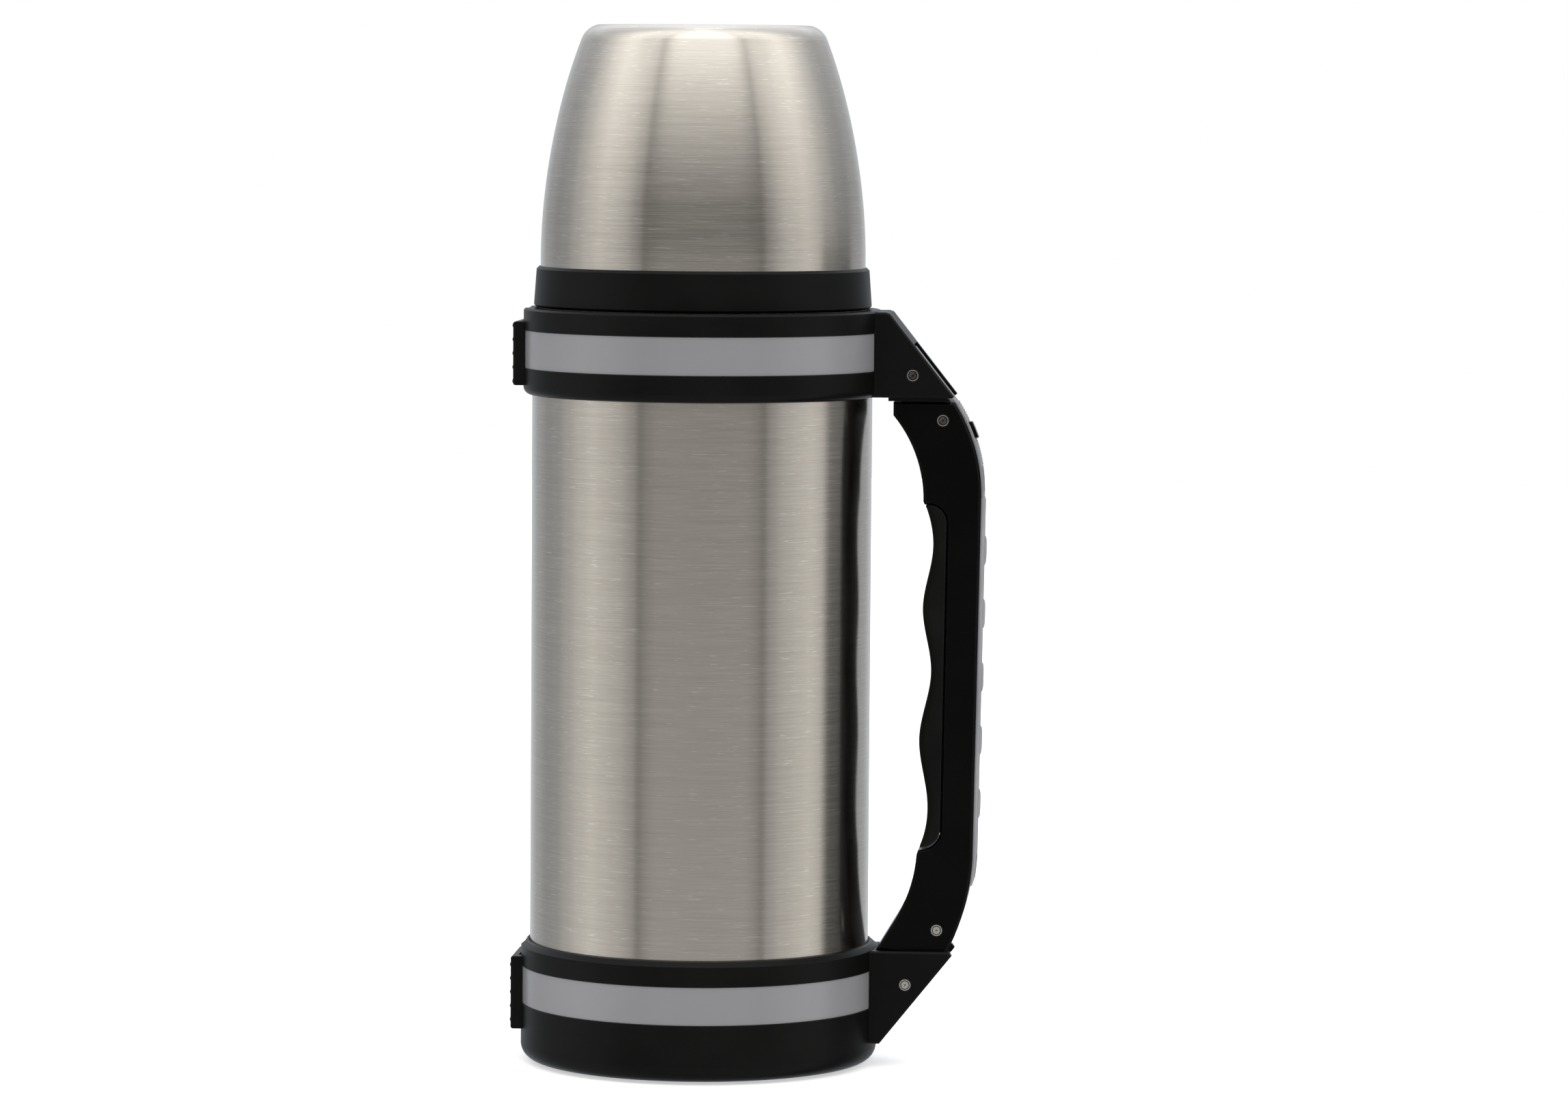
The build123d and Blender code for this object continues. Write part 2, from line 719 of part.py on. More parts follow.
# ---- cup lid
def cup_side(inset):
    """The cup's side and rounded top edge, moved in by inset."""
    base = rim_top
    side = Spline(
        (cup_radius - inset, base),
        (cup_radius - 0.15 - inset, base + 0.13 * cup_height),
        (cup_radius - 1.4 - inset, base + 0.33 * cup_height),
        (cup_radius - 4.9 - inset, base + 0.60 * cup_height),
        (cup_radius - 8.9 - inset, base + 0.80 * cup_height),
        (cup_top_radius - inset, cup_top - cup_edge),
    )
    edge = TangentArc(side @ 1, (cup_top_radius - 5.2 - inset, cup_top - inset), tangent=side % 1)
    return side, edge


def cup_shell():
    """Brushed steel cap of the cup."""
    side, edge = cup_side(0)
    inner_side, inner_edge = cup_side(cup_wall)
    outer_end = edge @ 1
    inner_end = inner_edge @ 1
    middle = outer_end.X - cup_flat
    high = cup_top - cup_dish
    top = [
        Line(outer_end, (middle, high)),
        Polyline((middle, high), (0, high), (0, high - cup_wall), (middle, high - cup_wall), inner_end),
    ]
    return turned([side, edge, inner_side, inner_edge, Line(side @ 0, inner_side @ 0)] + top)


def cup_liner():
    """Black inner cup; its thick lip is the rim that shows below the steel."""
    outset = cup_wall + cup_liner_gap
    side, edge = cup_side(outset)
    inner_side, inner_edge = cup_side(outset + cup_liner_wall)
    outer_end = edge @ 1
    inner_end = inner_edge @ 1
    roof = cup_top - cup_dish - outset
    floor = roof - cup_liner_wall
    soft = rim_softening
    lines = [
        side, edge, inner_side, inner_edge,
        Polyline(outer_end, (outer_end.X - cup_flat, roof), (0, roof), (0, floor),
                 (inner_end.X - cup_flat, floor), inner_end),
        Polyline(side @ 0, (rim_radius - rim_draft - soft, rim_top), (rim_radius - rim_draft, rim_top - soft),
                 (rim_radius, rim_bottom + soft), (rim_radius - soft, rim_bottom), (cup_bore, rim_bottom),
                 (cup_bore, rim_top - rim_step), inner_side @ 0),
    ]
    cup = turned(lines)
    start = 360 / lug_count / 2
    lug_low = rim_bottom + rim_lug_rise
    for lug in lugs(cup_bore - lug_depth, cup_bore + lug_root, lug_low, inner_lug_arc, start):
        cup += lug
    return cup


def cup_seal():
    top = rim_bottom - seal_fit
    return ring(seal_inner, seal_outer, top - seal_thickness, top)


def thread_ring():
    """Black ring on the collar that the cup's lugs turn under."""
    inner = thread_radius - thread_ring_wall
    top = collar_top + thread_ring_height
    lower = shell_neck + running_gap
    part = turned(Polyline((lower, collar_top), (thread_radius, collar_top), (thread_radius, top),
                           (inner, top), (inner, collar_top + 2), (lower, collar_top + 2), close=True))
    lug_low = rim_bottom + rim_lug_rise + lug_height + running_gap
    for lug in lugs(thread_radius - lug_root, thread_radius + lug_depth, lug_low, outer_lug_arc, 0):
        part += lug
    return part


# ---- stopper
def stopper_body():
    """Plug, skirt and top of the stopper in one moulding, open for the button."""
    top = skirt_top
    plug_inner = plug_radius - plug_wall
    outer = [
        (plug_radius, plug_bottom + plug_floor), (plug_radius, skirt_bottom), (skirt_radius, skirt_bottom),
    ]
    well = button_radius + running_gap
    stem_hole = spring_radius - 2.5
    under = stopper_well - spring_seat
    inner = [
        (well, top), (well, stopper_well), (stem_hole, stopper_well), (stem_hole, under),
        (plug_inner, under), (plug_inner, plug_bottom + plug_floor),
    ]
    side = [
        Polyline(*outer, (skirt_radius, top - skirt_edge)),
        RadiusArc((skirt_radius, top - skirt_edge), (skirt_radius - skirt_edge, top), -skirt_edge),
        Polyline((skirt_radius - skirt_edge, top), *inner, outer[0]),
    ]
    body = turned(side)
    start = 360 / lug_count / 2
    lug_low = mouth - mouth_lug_drop - lug_height - running_gap
    for lug in lugs(plug_radius - lug_root, plug_radius + lug_depth, lug_low, inner_lug_arc, start):
        body += lug
    groove = Cylinder(groove_radius, skirt_height)
    groove = Pos(skirt_radius + groove_radius / 2, 0, skirt_bottom + 6) * groove
    for index in range(grip_grooves):
        body -= Rot(0, 0, index * 360 / grip_grooves) * groove
    return body


def stopper_base():
    """White disc that closes the plug, with the valve's seat in its middle."""
    return ring(stem_radius + 1.2, plug_radius, plug_bottom, plug_bottom + plug_floor)


def stopper_foam():
    inner = spring_radius + 1.5
    outer = plug_radius - plug_wall - running_gap
    return ring(inner, outer, plug_bottom + plug_floor + 0.1, stopper_well - spring_seat - 0.5)


def stopper_gasket():
    return ring(neck_radius + 0.6, skirt_radius - 1.5, mouth + 0.05, skirt_bottom - 0.05)


def pour_button():
    """Dished press button in the middle of the stopper."""
    high = skirt_top + button_rise
    button = ring(0, button_radius, button_bottom, high)
    button = fillet(button.edges().group_by(Axis.Z)[-1], button_edge)
    return button - Pos(0, 0, high - dish_depth + dish_radius) * Sphere(dish_radius)


def valve_stem():
    low = plug_bottom - valve_thickness
    return ring(0, stem_radius, low, button_bottom)


def valve_seal():
    """Soft disc on the stem's lower end that closes the plug from below."""
    top = plug_bottom - 0.05
    return ring(stem_radius + 0.02, valve_radius, top - valve_thickness, top)


def button_spring():
    low = stopper_well + spring_wire + 0.05
    high = button_bottom - spring_wire - 0.05
    path = Pos(0, 0, low) * Helix(pitch=(high - low) / spring_turns, height=high - low, radius=spring_radius)
    section = Plane(origin=path @ 0, z_dir=path % 0) * Circle(spring_wire)
    return sweep(section, path=path, is_frenet=True)


# ---- everything, written out
nodes = {
    "outer_shell": outer_shell(),
    "inner_liner": inner_liner(),
    "steel_base": steel_base(),
    "vacuum_seal": vacuum_seal(),
    "getter": getter(),
    "foil_wrap": foil_wrap(),
    "base_cup": base_cup(),
    "foot_pad": foot_pad(),
    "upper_collar": upper_collar(),
    "upper_band_front": band(collar_bottom + upper_band_rise, -1),
    "upper_band_back": band(collar_bottom + upper_band_rise, 1),
    "lower_band_front": band(lower_band_rise, -1),
    "lower_band_back": band(lower_band_rise, 1),
    "upper_strap_loop": strap_loop(collar_bottom + upper_loop_rise, upper_loop_height),
    "lower_strap_loop": strap_loop(lower_loop_rise, lower_loop_height),
    "thread_ring": thread_ring(),
    "handle_core": handle_core(),
    "handle_shell_front": handle_shell(-1),
    "handle_shell_back": handle_shell(1),
    "finger_grip": finger_grip(),
    "back_strip": back_strip(),
    "back_pad": back_pad(),
    "strip_stud": strip_stud(),
    "cup_seal": cup_seal(),
    "cup_shell": cup_shell(),
    "cup_liner": cup_liner(),
    "stopper_gasket": stopper_gasket(),
    "stopper_body": stopper_body(),
    "stopper_base": stopper_base(),
    "stopper_foam": stopper_foam(),
    "pour_button": pour_button(),
    "valve_stem": valve_stem(),
    "valve_seal": valve_seal(),
    "button_spring": button_spring(),
}
for name, (x, z, length) in pins.items():
    nodes[name] = handle_pin(x, z, length)

os.makedirs("parts", exist_ok=True)
for name, solid in nodes.items():
    solid.label = name
    export_step(solid, f"parts/{name}.step")
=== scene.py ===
# Stainless vacuum flask with a drinking cup, two black collars and a side handle.
import json
import math

import bmesh
import bpy
from mathutils import Matrix, Vector
from mathutils.bvhtree import BVHTree


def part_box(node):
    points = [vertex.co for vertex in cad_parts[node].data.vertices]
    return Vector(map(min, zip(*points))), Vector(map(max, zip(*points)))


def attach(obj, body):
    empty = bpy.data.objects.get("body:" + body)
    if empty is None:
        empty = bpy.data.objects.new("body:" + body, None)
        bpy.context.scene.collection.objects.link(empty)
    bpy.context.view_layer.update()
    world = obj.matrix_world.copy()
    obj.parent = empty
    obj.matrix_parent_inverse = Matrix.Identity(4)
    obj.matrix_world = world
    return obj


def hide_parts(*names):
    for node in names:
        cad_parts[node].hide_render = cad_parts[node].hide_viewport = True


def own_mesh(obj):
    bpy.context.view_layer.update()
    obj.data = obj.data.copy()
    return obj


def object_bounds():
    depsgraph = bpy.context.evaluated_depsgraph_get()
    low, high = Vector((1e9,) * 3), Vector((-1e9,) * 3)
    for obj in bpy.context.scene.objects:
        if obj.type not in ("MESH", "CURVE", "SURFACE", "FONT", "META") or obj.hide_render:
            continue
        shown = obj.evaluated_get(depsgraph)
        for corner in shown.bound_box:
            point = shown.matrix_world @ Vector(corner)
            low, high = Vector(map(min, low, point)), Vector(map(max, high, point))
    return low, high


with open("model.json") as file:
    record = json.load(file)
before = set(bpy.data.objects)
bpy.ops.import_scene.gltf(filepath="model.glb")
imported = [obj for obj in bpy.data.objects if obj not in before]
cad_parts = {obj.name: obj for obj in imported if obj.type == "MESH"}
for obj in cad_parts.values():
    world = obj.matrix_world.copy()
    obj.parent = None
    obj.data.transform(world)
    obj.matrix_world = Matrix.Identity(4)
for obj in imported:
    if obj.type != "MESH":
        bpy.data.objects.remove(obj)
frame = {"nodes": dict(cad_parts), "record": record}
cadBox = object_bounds()
nodes = frame["nodes"]
mm = 0.001
scene = bpy.context.scene
print("frame loaded:", len(nodes), "nodes")


# node helpers used by every material and geometry tree


def addNode(tree, kind, settings=None, **inputs):
    # nodes are set out eight to a row, so that an opened tree can be read
    made = tree.nodes.new(kind)
    made.location = (220 * (len(tree.nodes) % 8), -240 * (len(tree.nodes) // 8))
    for key, value in (settings or {}).items():
        setattr(made, key, value)
    for key, value in inputs.items():
        feed(tree, made.inputs[key.replace("_", " ")], value)
    return made


def feed(tree, entry, value):
    # a socket is wired in, anything else is set on the input itself
    if isinstance(value, bpy.types.NodeSocket):
        tree.links.new(value, entry)
    else:
        entry.default_value = value


def calc(tree, operation, *values):
    made = tree.nodes.new("ShaderNodeMath")
    made.operation = operation
    for entry, value in zip(made.inputs, values):
        feed(tree, entry, value)
    return made.outputs[0]


def reachOf(tree, first, second):
    # length of the line with these two sides
    return calc(tree, "SQRT", calc(tree, "ADD", calc(tree, "MULTIPLY", first, first),
                                   calc(tree, "MULTIPLY", second, second)))


def ramp(tree, value, stops, interpolation="LINEAR"):
    made = tree.nodes.new("ShaderNodeValToRGB")
    feed(tree, made.inputs["Fac"], value)
    elements = made.color_ramp.elements
    while len(elements) < len(stops):
        elements.new(0.5)
    for element, (place, level) in zip(elements, stops):
        element.position = place
        element.color = (*level, 1) if hasattr(level, "__len__") else (level, level, level, 1)
    made.color_ramp.interpolation = interpolation
    return made.outputs["Color"]


def blendColours(tree, share, first, second):
    made = addNode(tree, "ShaderNodeMix", {"data_type": "RGBA"})
    for number, value in ((0, share), (6, first), (7, second)):  # the colour sockets of a Mix node
        feed(tree, made.inputs[number], value)
    return made.outputs[2]


def rgb(*levels):
    return (*levels, 1.0)


# camera: a long lens a little above the middle, turned a few degrees off the handle's side

cameraValues = {
    "lens": 145.5,
    "distance": 2.012,
    "height": 0.31185,
    "turn": 5.0,  # degrees round the flask from the straight side view
    "pitch": 4.258,  # looking down
    "yaw": -0.749,
    "roll": 0.418,
}


def makeCamera(values):
    data = bpy.data.cameras.new("productCamera")
    data.lens = values["lens"]
    data.sensor_width = 36.0
    data.sensor_fit = "HORIZONTAL"
    data.clip_end = 20.0
    camera = bpy.data.objects.new("productCamera", data)
    scene.collection.objects.link(camera)
    yaw, pitch, roll = (math.radians(values[key]) for key in ("yaw", "pitch", "roll"))
    right = Vector((math.cos(yaw), math.sin(yaw), 0))
    level = Vector((-math.sin(yaw), math.cos(yaw), 0))
    up = Vector((0, 0, 1))
    forward = level * math.cos(pitch) - up * math.sin(pitch)
    tipped = level * math.sin(pitch) + up * math.cos(pitch)
    across = right * math.cos(roll) + tipped * math.sin(roll)
    upward = -right * math.sin(roll) + tipped * math.cos(roll)
    axes = Matrix((across, upward, -forward)).transposed().to_4x4()
    place = Matrix.Translation((0, -values["distance"], values["height"]))
    camera.matrix_world = Matrix.Rotation(math.radians(values["turn"]), 4, "Z") @ place @ axes
    scene.camera = camera


makeCamera(cameraValues)
print("camera ready")


# studio: an even white room whose soft boxes stand round the flask as bands of light

studioValues = {
    "turn": 5.0,  # the bands are laid out from the camera's side
    "strength": 1.0,
    "brightest": 5.5,  # highest level in the height lists below
    "warm": (1.0, 0.995, 0.985),
    "cool": (0.945, 0.99, 1.05),
    "backdrop": 1.0,
    "floorSize": 3.0,
    "floorColour": (0.86, 0.86, 0.86),
    "floorGlow": 0.52,
    "floorGap": 0.2 * mm,
}

# share of a half turn from the camera's side, and the light there
sideBands = [
    (0.00, 0.37), (0.17, 0.38), (0.212, 0.33), (0.236, 0.22), (0.262, 0.40), (0.33, 0.56),
    (0.39, 0.66), (0.44, 0.74), (0.50, 0.66), (0.57, 0.52), (0.64, 0.40), (0.71, 0.37),
    (0.80, 0.45), (0.92, 0.62),
]
# height of the light's direction, from straight down to straight up, and how it scales the bands:
# first in front of the flask, then to its sides
middleHeights = [
    (0.00, 0.9), (0.40, 1.5), (0.465, 1.35), (0.485, 0.9), (0.503, 0.08), (0.535, 0.04), (0.56, 0.35),
    (0.60, 1.1), (0.64, 1.7), (0.70, 3.2), (0.76, 4.8), (0.86, 5.5), (1.00, 5.0),
]
sideHeights = [
    (0.00, 0.75), (0.40, 1.05), (0.47, 1.0), (0.49, 0.92), (0.51, 0.86), (0.55, 1.05), (0.60, 1.4),
    (0.667, 1.95), (0.80, 2.3), (1.00, 2.5),
]
# a black card stands low on the handle's side: share of a whole turn, and what it lets through
darkCard = [(0.745, 1.0), (0.772, 0.06), (0.845, 0.06), (0.87, 1.0)]
cardTop = [(0.485, 1.0), (0.497, 0.0)]  # height where the card ends
frontToSide = [(0.19, 0.0), (0.34, 1.0)]  # where the front's heights give way to the sides'
warmToCool = [(0.52, 0.0), (0.72, 1.0)]  # share of a half turn where the light turns cooler


def makeRoom(values):
    world = bpy.data.worlds.new("softStudio")
    scene.world = world
    world.use_nodes = True
    tree = world.node_tree
    tree.nodes.clear()
    direction = addNode(tree, "ShaderNodeTexCoord").outputs["Generated"]
    turned = addNode(tree, "ShaderNodeVectorRotate", {"rotation_type": "Z_AXIS"},
                     Vector=direction, Angle=-math.radians(values["turn"])).outputs[0]
    x, y, z = addNode(tree, "ShaderNodeSeparateXYZ", Vector=turned).outputs
    azimuth = calc(tree, "ARCTAN2", x, calc(tree, "MULTIPLY", y, -1.0))
    share = calc(tree, "DIVIDE", calc(tree, "ABSOLUTE", azimuth), math.pi)
    wholeTurn = calc(tree, "ADD", calc(tree, "MULTIPLY", azimuth, 0.5 / math.pi), 0.5)
    rise = calc(tree, "ADD", calc(tree, "DIVIDE", calc(tree, "ARCSINE", z), math.pi), 0.5)

    def heightRamp(stops):
        # a colour ramp holds levels up to 1, so they are scaled by the brightest
        return ramp(tree, rise, [(place, level / values["brightest"]) for place, level in stops], "EASE")

    heights = blendColours(tree, ramp(tree, share, frontToSide), heightRamp(middleHeights),
                           heightRamp(sideHeights))
    bands = ramp(tree, share, sideBands, "EASE")
    shade = blendColours(tree, ramp(tree, rise, cardTop), rgb(1, 1, 1),
                         ramp(tree, wholeTurn, darkCard, "EASE"))
    light = calc(tree, "MULTIPLY", bands, heights)
    light = calc(tree, "MULTIPLY", light, values["brightest"] * values["strength"])
    light = calc(tree, "MULTIPLY", light, shade)
    tint = blendColours(tree, ramp(tree, share, warmToCool), rgb(*values["warm"]), rgb(*values["cool"]))
    room = addNode(tree, "ShaderNodeBackground", Strength=light, Color=tint)
    backdrop = addNode(tree, "ShaderNodeBackground", Strength=values["backdrop"], Color=rgb(1, 1, 1))
    mixed = addNode(tree, "ShaderNodeMixShader")
    feed(tree, mixed.inputs[0], addNode(tree, "ShaderNodeLightPath").outputs["Is Camera Ray"])
    feed(tree, mixed.inputs[1], room.outputs[0])
    feed(tree, mixed.inputs[2], backdrop.outputs[0])
    addNode(tree, "ShaderNodeOutputWorld", Surface=mixed.outputs[0])


def makeFloor(values):
    mesh = bpy.data.meshes.new("studioFloor")
    shape = bmesh.new()
    bmesh.ops.create_circle(shape, cap_ends=True, segments=96, radius=values["floorSize"])
    shape.to_mesh(mesh)
    shape.free()
    floor = bpy.data.objects.new("studioFloor", mesh)
    scene.collection.objects.link(floor)
    floor.location.z = cadBox[0][2] - values["floorGap"]
    floor.visible_glossy = False
    paint = bpy.data.materials.new("palePaper")
    paint.use_nodes = True
    surface = paint.node_tree.nodes["Principled BSDF"]
    surface.inputs["Base Color"].default_value = rgb(*values["floorColour"])
    surface.inputs["Roughness"].default_value = 0.9
    surface.inputs["Specular IOR Level"].default_value = 0.1
    surface.inputs["Emission Color"].default_value = rgb(1, 1, 1)
    surface.inputs["Emission Strength"].default_value = values["floorGlow"]
    mesh.materials.append(paint)


scene.view_settings.view_transform = "Standard"
makeRoom(studioValues)
makeFloor(studioValues)
print("studio ready")


# shared effects, each a shader node group


def makeGroup(name, inputs, outputs):
    tree = bpy.data.node_groups.new(name, "ShaderNodeTree")
    for label, kind, value in inputs:
        entry = tree.interface.new_socket(label, in_out="INPUT", socket_type="NodeSocket" + kind)
        if value is not None:
            entry.default_value = value
    for label, kind in outputs:
        tree.interface.new_socket(label, in_out="OUTPUT", socket_type="NodeSocket" + kind)
    source = tree.nodes.new("NodeGroupInput")
    target = tree.nodes.new("NodeGroupOutput")
    return tree, source.outputs, target.inputs


def makeBrushing():
    # lines drawn round the flask's axis: on the sides they run level, on top they run in rings
    tree, given, out = makeGroup("brushedLines", [
        ("Line Density", "Float", 2600.0), ("Line Length", "Float", 55.0),
        ("Scratch Density", "Float", 2600.0), ("Scratch Length", "Float", 150.0),
        ("Scratch Share", "Float", 0.7),
    ], [("Lines", "Float"), ("Scratches", "Float"), ("Patches", "Float")])
    place = addNode(tree, "ShaderNodeTexCoord").outputs["Object"]
    x, y, z = addNode(tree, "ShaderNodeSeparateXYZ", Vector=place).outputs
    level = calc(tree, "SUBTRACT", z, reachOf(tree, x, y))

    def streaks(length, density, detail):
        vector = addNode(tree, "ShaderNodeCombineXYZ", X=calc(tree, "MULTIPLY", x, length),
                         Y=calc(tree, "MULTIPLY", y, length), Z=calc(tree, "MULTIPLY", level, density))
        return addNode(tree, "ShaderNodeTexNoise", Vector=vector.outputs[0], Scale=1.0, Detail=detail,
                       Roughness=0.65).outputs[0]

    fine = streaks(given["Line Length"], given["Line Density"], 3.0)
    sparse = streaks(given["Scratch Length"], given["Scratch Density"], 2.0)
    fullScratch = calc(tree, "ADD", given["Scratch Share"], 0.06)
    scratches = addNode(tree, "ShaderNodeMapRange", {"interpolation_type": "SMOOTHSTEP"}, Value=sparse,
                        From_Min=given["Scratch Share"], From_Max=fullScratch)
    # patches lie flat: wide round the flask and short in height
    patches = streaks(5.0, 420.0, 4.0)
    tree.links.new(fine, out["Lines"])
    tree.links.new(scratches.outputs[0], out["Scratches"])
    tree.links.new(patches, out["Patches"])
    return tree


def makeGrain():
    # fine moulded grain with wider uneven gloss
    tree, given, out = makeGroup("mouldedGrain", [
        ("Grain Scale", "Float", 2400.0), ("Cloud Scale", "Float", 40.0),
    ], [("Grain", "Float"), ("Clouds", "Float")])
    place = addNode(tree, "ShaderNodeTexCoord").outputs["Object"]
    grain = addNode(tree, "ShaderNodeTexNoise", Vector=place, Scale=given["Grain Scale"], Detail=3.0)
    clouds = addNode(tree, "ShaderNodeTexNoise", Vector=place, Scale=given["Cloud Scale"], Detail=3.0)
    tree.links.new(grain.outputs[0], out["Grain"])
    tree.links.new(clouds.outputs[0], out["Clouds"])
    return tree


def makeEdgeSheenAndWear():
    # pale line painted where two faces meet: a painted highlight for light caught on the edges, together
    # with rubbed wear
    tree, given, out = makeGroup("edgeSheenAndWear", [("Width", "Float", 0.0006), ("Breakup", "Float", 300.0)],
                                 [("Mask", "Float")])
    rounded = addNode(tree, "ShaderNodeBevel", {"samples": 6}, Radius=given["Width"]).outputs[0]
    flat = addNode(tree, "ShaderNodeNewGeometry").outputs["Normal"]
    facing = addNode(tree, "ShaderNodeVectorMath", {"operation": "DOT_PRODUCT"})
    tree.links.new(rounded, facing.inputs[0])
    tree.links.new(flat, facing.inputs[1])
    turned = calc(tree, "SUBTRACT", 1.0, facing.outputs["Value"])
    place = addNode(tree, "ShaderNodeTexCoord").outputs["Object"]
    noise = addNode(tree, "ShaderNodeTexNoise", Vector=place, Scale=given["Breakup"], Detail=2.0).outputs[0]
    mask = addNode(tree, "ShaderNodeMapRange", {"clamp": True}, Value=calc(tree, "MULTIPLY", turned, noise),
                   From_Min=0.01, From_Max=0.08)
    tree.links.new(mask.outputs[0], out["Mask"])
    return tree


brushedLines = makeBrushing()
mouldedGrain = makeGrain()
edgeSheenAndWear = makeEdgeSheenAndWear()


def startMaterial(name, **values):
    made = bpy.data.materials.new(name)
    made.use_nodes = True
    surface = made.node_tree.nodes["Principled BSDF"]
    for key, value in values.items():
        surface.inputs[key.replace("_", " ")].default_value = value
    return made, made.node_tree, surface


def useGroup(tree, group, **values):
    made = tree.nodes.new("ShaderNodeGroup")
    made.node_tree = group
    for key, value in values.items():
        made.inputs[key.replace("_", " ")].default_value = value
    return made.outputs


def spread(tree, value, low, high):
    # maps noise around its middle onto low to high
    return addNode(tree, "ShaderNodeMapRange", {"clamp": True}, Value=value, From_Min=0.3, From_Max=0.7,
                   To_Min=low, To_Max=high).outputs[0]


def makeSteel(name, values):
    made, tree, surface = startMaterial(name, Metallic=1.0, Anisotropic=values["anisotropic"],
                                        Anisotropic_Rotation=0.25)
    lines, scratches, patches = useGroup(tree, brushedLines, Line_Density=values["lineDensity"],
                                         Scratch_Share=values["scratchShare"])
    patchShare = values["patchShare"]
    tone = calc(tree, "ADD", calc(tree, "MULTIPLY", spread(tree, lines, 0.0, 1.0), 1 - patchShare),
                calc(tree, "MULTIPLY", spread(tree, patches, 0.0, 1.0), patchShare))
    colour = blendColours(tree, tone, rgb(*values["dark"]), rgb(*values["light"]))
    scratched = calc(tree, "MULTIPLY", scratches, values["scratchLight"])
    colour = blendColours(tree, scratched, colour, rgb(*values["scratchColour"]))
    tree.links.new(colour, surface.inputs["Base Color"])
    patchy, lined = values["patchGloss"], values["lineGloss"]
    gloss = calc(tree, "ADD", spread(tree, patches, -patchy, patchy), values["roughness"])
    gloss = calc(tree, "ADD", gloss, spread(tree, lines, -lined, lined))
    tree.links.new(gloss, surface.inputs["Roughness"])
    relief = calc(tree, "ADD", lines, calc(tree, "MULTIPLY", scratches, values["scratchDepth"]))
    bump = addNode(tree, "ShaderNodeBump", Strength=values["bump"], Distance=values["lineDepth"],
                   Height=relief)
    tree.links.new(bump.outputs[0], surface.inputs["Normal"])
    if values["anisotropic"]:
        tangent = addNode(tree, "ShaderNodeTangent", {"direction_type": "RADIAL", "axis": "Z"})
        tree.links.new(tangent.outputs[0], surface.inputs["Tangent"])
    return made


brushedSteelValues = {
    "dark": (0.585, 0.546, 0.49),
    "light": (0.735, 0.688, 0.62),
    "roughness": 0.2,
    "anisotropic": 0.9,
    "lineDensity": 3800.0,
    "scratchShare": 0.635,
    "scratchLight": 0.6,
    "scratchColour": (0.92, 0.9, 0.86),
    "scratchDepth": 0.6,  # beside the lines' own depth
    "patchShare": 0.2,  # how much of the uneven tone comes from wide patches
    "patchGloss": 0.008,
    "lineGloss": 0.015,
    "bump": 0.02,
    "lineDepth": 0.02 * mm,
}
plainSteelValues = dict(brushedSteelValues, dark=(0.58, 0.57, 0.55), light=(0.68, 0.67, 0.65),
                        roughness=0.24, anisotropic=0.0, scratchShare=0.74)


def makePinHead():
    # colour rings for a pin's two ends: a pale rim, and painted shade that darkens the turned groove, the
    # small mark in the middle and the outer edge
    tree, given, out = makeGroup("pinHead", [("Centre", "Vector", None), ("Radius", "Float", 0.002)],
                                 [("Groove", "Float"), ("Rim", "Float")])
    place = addNode(tree, "ShaderNodeTexCoord").outputs["Object"]
    off = addNode(tree, "ShaderNodeVectorMath", {"operation": "SUBTRACT"})
    tree.links.new(place, off.inputs[0])
    tree.links.new(given["Centre"], off.inputs[1])
    x, y, z = addNode(tree, "ShaderNodeSeparateXYZ", Vector=off.outputs[0]).outputs
    share = calc(tree, "DIVIDE", reachOf(tree, x, z), given["Radius"])
    groove = ramp(tree, share, [(0.0, 0.7), (0.14, 0.7), (0.18, 0.0), (0.60, 0.0), (0.66, 1.0), (0.76, 1.0),
                                (0.82, 0.0), (0.93, 0.0), (0.98, 0.6)])
    rim = ramp(tree, share, [(0.0, 0.0), (0.78, 0.0), (0.84, 1.0), (0.94, 1.0), (1.0, 0.0)])
    tree.links.new(groove, out["Groove"])
    tree.links.new(rim, out["Rim"])
    return tree


pinHead = makePinHead()

# the upper pins are darker in the middle than the lower ones
pinValues = {
    "upper_bracket_pin": (0.03, 0.03, 0.03),
    "upper_handle_pin": (0.015, 0.015, 0.015),
    "lower_handle_pin": (0.66, 0.63, 0.58),
    "lower_bracket_pin": (0.66, 0.63, 0.58),
}


def makePin(name, nodeName, face, values):
    low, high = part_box(nodeName)
    made, tree, surface = startMaterial(name, Metallic=1.0)
    groove, rim = useGroup(tree, pinHead, Centre=tuple((a + b) / 2 for a, b in zip(low, high)),
                           Radius=(high[0] - low[0]) / 2)
    lines, scratches, patches = useGroup(tree, brushedLines, Line_Density=values["lineDensity"])
    colour = blendColours(tree, spread(tree, patches, 0.0, 0.35), rgb(*face), rgb(*values["light"]))
    colour = blendColours(tree, rim, colour, rgb(*values["light"]))
    # painted shade: near black laid into the groove, the centre mark and the outer edge, where these
    # recesses fall into shade
    colour = blendColours(tree, calc(tree, "MULTIPLY", groove, 0.8), colour, rgb(0.02, 0.02, 0.02))
    tree.links.new(colour, surface.inputs["Base Color"])
    tree.links.new(calc(tree, "ADD", spread(tree, lines, -0.05, 0.05), values["roughness"]),
                   surface.inputs["Roughness"])
    bump = addNode(tree, "ShaderNodeBump", Strength=0.1, Distance=values["lineDepth"], Height=lines)
    tree.links.new(bump.outputs[0], surface.inputs["Normal"])
    return made


grainDepth = 0.05 * mm


